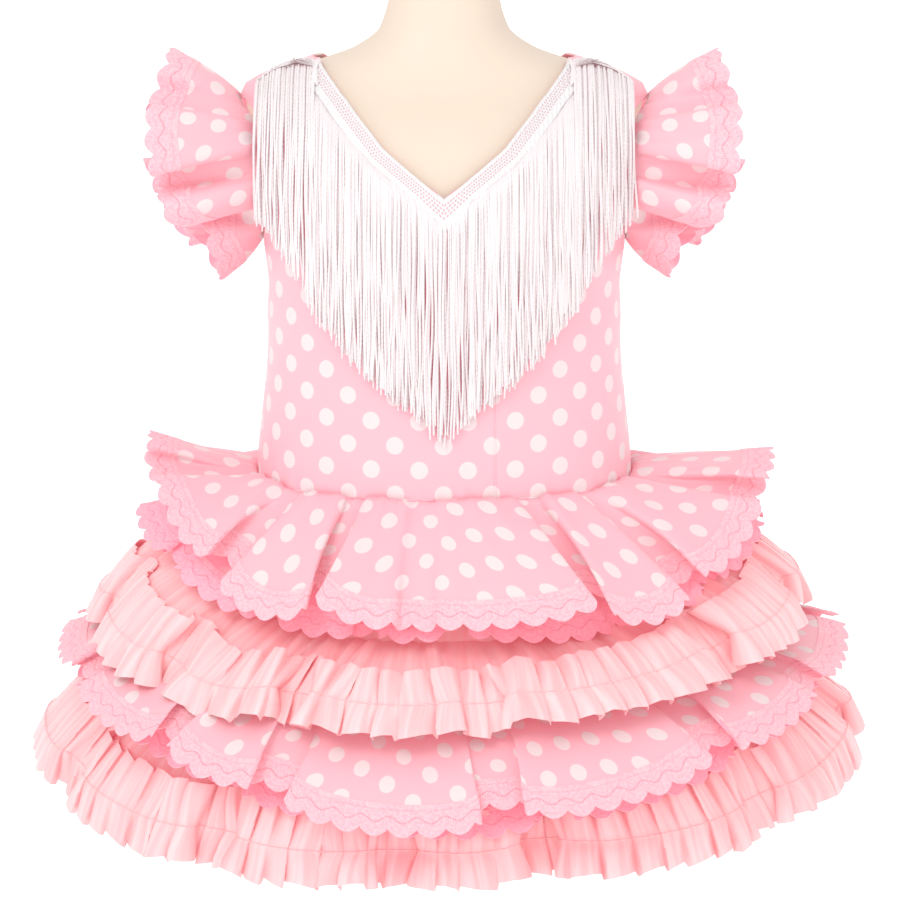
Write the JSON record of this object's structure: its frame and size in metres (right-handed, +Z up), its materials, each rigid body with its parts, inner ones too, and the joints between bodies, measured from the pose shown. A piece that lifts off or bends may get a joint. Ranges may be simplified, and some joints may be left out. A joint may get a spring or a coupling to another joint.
{
  "type": "flamenco dress on dress form",
  "caption": "Child's tiered flamenco dress with fringed V-neck and flounced sleeves, shown on a limbless dress form with a low stand.",
  "frame": {"origin": "middle of the stand's flat underside, on the surface it stands on", "axes": "+Z up, -Y out of the wearer's chest, +X to the wearer's left"},
  "size_m": [0.5272, 0.483, 0.5445],
  "materials": {
    "form_skin": "smooth cream cloth drawn tight over the form, matt",
    "stand_cream": "cream lacquer, satin",
    "dotted_pink": "light pink satin with round white dots",
    "peach_organza": "sheer peach organza, crinkled",
    "pink_lace": "pink scalloped lace edging with small eyelets",
    "white_fringe": "white woven braid with long silky strands"
  },
  "bodies": {
    "root": {"form_torso": "form_skin", "stand_post": "stand_cream", "stand_base": "stand_cream", "bodice_front": "dotted_pink", "bodice_side_front": "dotted_pink", "bodice_back_right": "dotted_pink", "bodice_back_left": "dotted_pink", "back_zip": "dotted_pink", "underskirt": "dotted_pink", "tier_1": "dotted_pink", "tier_3": "dotted_pink", "sleeve_right": "dotted_pink", "sleeve_left": "dotted_pink", "tier_2": "peach_organza", "tier_2_frill": "peach_organza", "tier_4": "peach_organza", "tier_4_frill": "peach_organza", "tier_1_lace": "pink_lace", "tier_3_lace": "pink_lace", "sleeve_right_lace": "pink_lace", "sleeve_left_lace": "pink_lace", "fringe_front_right": "white_fringe", "fringe_front_left": "white_fringe", "fringe_back_right": "white_fringe", "fringe_back_left": "white_fringe"}
  },
  "joints": []
}
